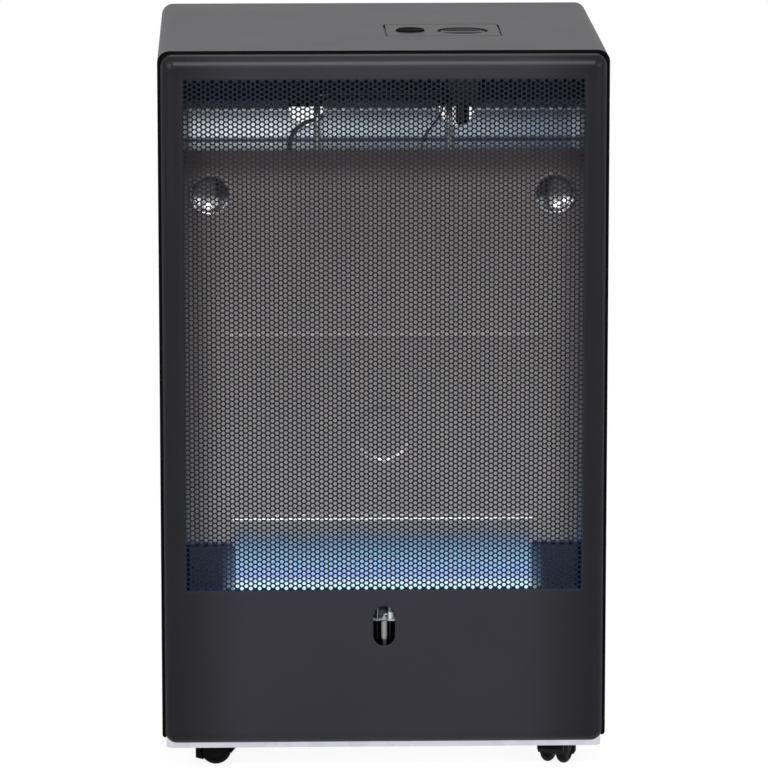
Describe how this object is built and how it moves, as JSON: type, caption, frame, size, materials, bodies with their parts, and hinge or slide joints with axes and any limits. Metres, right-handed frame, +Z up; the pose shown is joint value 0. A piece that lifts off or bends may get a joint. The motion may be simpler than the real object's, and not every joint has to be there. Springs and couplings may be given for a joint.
{
  "type": "portable gas cabinet heater",
  "caption": "Tall black cabinet gas heater with a finely perforated front, blue-flame burner, top knob and button, rear bottle bay and twin-wheel casters.",
  "frame": {"origin": "on the floor under the middle of the cabinet", "axes": "+Z up, -Y towards the room (perforated front), +X to the right seen from above with the front at the bottom"},
  "size_m": [0.45, 0.4, 0.7399],
  "materials": {
    "powder_black": "fine-textured matte black powder coat",
    "zinc_sheet": "bright galvanised sheet",
    "shield_sheet": "dull aluminised sheet, heat tinted",
    "burner_steel": "dark heat-resistant coat",
    "black_plastic": "black moulded plastic, satin",
    "caster_plastic": "black nylon, matte",
    "valve_alloy": "die-cast, matte",
    "brass_parts": "turned brass, satin",
    "pipe_alloy": "drawn tube, satin",
    "copper_capillary": "drawn copper alloy, dull",
    "bright_steel": "zinc-plated, semi-bright",
    "electrode_ceramic": "glazed white",
    "lead_sleeve": "silicone sleeve, matte black"
  },
  "bodies": {
    "root": {"casing": "powder_black", "front_panel": "powder_black", "base_tray": "zinc_sheet", "rear_upper_panel": "powder_black", "rear_panel_screws": "bright_steel", "bulkhead": "zinc_sheet", "heat_shield": "shield_sheet", "shield_screws": "bright_steel", "cheek_left": "zinc_sheet", "cheek_right": "zinc_sheet", "burner_body": "burner_steel", "burner_ports": "shield_sheet", "flame_guard": "shield_sheet", "burner_bracket_left": "burner_steel", "burner_bracket_right": "burner_steel", "injector": "brass_parts", "injector_elbow": "brass_parts", "pilot_bracket": "zinc_sheet", "pilot_burner": "bright_steel", "spark_electrode": "electrode_ceramic", "thermocouple": "bright_steel", "console": "black_plastic", "gas_valve": "valve_alloy", "inlet_nozzle": "brass_parts", "piezo_igniter": "black_plastic", "burner_pipe": "pipe_alloy", "pilot_pipe": "pipe_alloy", "thermocouple_lead": "copper_capillary", "igniter_lead": "lead_sleeve", "caster_plates": "zinc_sheet"},
    "rear_cover": {"rear_cover": "powder_black"},
    "igniter_button": {"igniter_button": "black_plastic"},
    "valve_plunger": {"valve_plunger": "brass_parts"},
    "knob": {"knob": "black_plastic", "valve_spindle": "bright_steel"},
    "swivel_front_left": {"caster_hood_front_left": "caster_plastic", "caster_axle_front_left": "bright_steel"},
    "wheel_front_left_a": {"wheel_front_left_a": "caster_plastic"},
    "wheel_front_left_b": {"wheel_front_left_b": "caster_plastic"},
    "swivel_front_right": {"caster_hood_front_right": "caster_plastic", "caster_axle_front_right": "bright_steel"},
    "wheel_front_right_a": {"wheel_front_right_a": "caster_plastic"},
    "wheel_front_right_b": {"wheel_front_right_b": "caster_plastic"},
    "swivel_rear_left": {"caster_hood_rear_left": "caster_plastic", "caster_axle_rear_left": "bright_steel"},
    "wheel_rear_left_a": {"wheel_rear_left_a": "caster_plastic"},
    "wheel_rear_left_b": {"wheel_rear_left_b": "caster_plastic"},
    "swivel_rear_right": {"caster_hood_rear_right": "caster_plastic", "caster_axle_rear_right": "bright_steel"},
    "wheel_rear_right_a": {"wheel_rear_right_a": "caster_plastic"},
    "wheel_rear_right_b": {"wheel_rear_right_b": "caster_plastic"}
  },
  "joints": [
    {"name": "rear_cover_lift", "type": "slide", "parent": "root", "child": "rear_cover", "axis": [0, 0, 1], "range_m": [0, 0.04]},
    {"name": "igniter_press", "type": "slide", "parent": "root", "child": "igniter_button", "axis": [0, 0, 1], "range_m": [-0.005, 0], "stiffness_N_per_m": 600},
    {"name": "control_press", "type": "slide", "parent": "root", "child": "valve_plunger", "axis": [0, 0, 1], "range_m": [-0.003, 0], "stiffness_N_per_m": 800},
    {"name": "control_turn", "type": "hinge", "parent": "valve_plunger", "child": "knob", "pos_m": [0.0845, -0.035, 0.73], "axis": [0, 0, 1], "range_deg": [0, 210]},
    {"name": "swivel_front_left_turn", "type": "hinge", "parent": "root", "child": "swivel_front_left", "pos_m": [-0.182, -0.148, 0.038], "axis": [0, 0, 1], "continuous": true},
    {"name": "wheel_front_left_a_spin", "type": "hinge", "parent": "swivel_front_left", "child": "wheel_front_left_a", "pos_m": [-0.171, -0.148, 0.016], "axis": [0, -1, 0], "continuous": true},
    {"name": "wheel_front_left_b_spin", "type": "hinge", "parent": "swivel_front_left", "child": "wheel_front_left_b", "pos_m": [-0.171, -0.148, 0.016], "axis": [0, -1, 0], "continuous": true},
    {"name": "swivel_front_right_turn", "type": "hinge", "parent": "root", "child": "swivel_front_right", "pos_m": [0.182, -0.148, 0.038], "axis": [0, 0, 1], "continuous": true},
    {"name": "wheel_front_right_a_spin", "type": "hinge", "parent": "swivel_front_right", "child": "wheel_front_right_a", "pos_m": [0.1777, -0.15813, 0.016], "axis": [-0.9205, 0.3907, 0], "continuous": true},
    {"name": "wheel_front_right_b_spin", "type": "hinge", "parent": "swivel_front_right", "child": "wheel_front_right_b", "pos_m": [0.1777, -0.15813, 0.016], "axis": [-0.9205, 0.3907, 0], "continuous": true},
    {"name": "swivel_rear_left_turn", "type": "hinge", "parent": "root", "child": "swivel_rear_left", "pos_m": [-0.182, 0.152, 0.038], "axis": [0, 0, 1], "continuous": true},
    {"name": "wheel_rear_left_a_spin", "type": "hinge", "parent": "swivel_rear_left", "child": "wheel_rear_left_a", "pos_m": [-0.17357, 0.15907, 0.016], "axis": [0.6428, -0.766, 0], "continuous": true},
    {"name": "wheel_rear_left_b_spin", "type": "hinge", "parent": "swivel_rear_left", "child": "wheel_rear_left_b", "pos_m": [-0.17357, 0.15907, 0.016], "axis": [0.6428, -0.766, 0], "continuous": true},
    {"name": "swivel_rear_right_turn", "type": "hinge", "parent": "root", "child": "swivel_rear_right", "pos_m": [0.182, 0.152, 0.038], "axis": [0, 0, 1], "continuous": true},
    {"name": "wheel_rear_right_a_spin", "type": "hinge", "parent": "swivel_rear_right", "child": "wheel_rear_right_a", "pos_m": [0.17166, 0.15576, 0.016], "axis": [0.342, 0.9397, 0], "continuous": true},
    {"name": "wheel_rear_right_b_spin", "type": "hinge", "parent": "swivel_rear_right", "child": "wheel_rear_right_b", "pos_m": [0.17166, 0.15576, 0.016], "axis": [0.342, 0.9397, 0], "continuous": true}
  ]
}
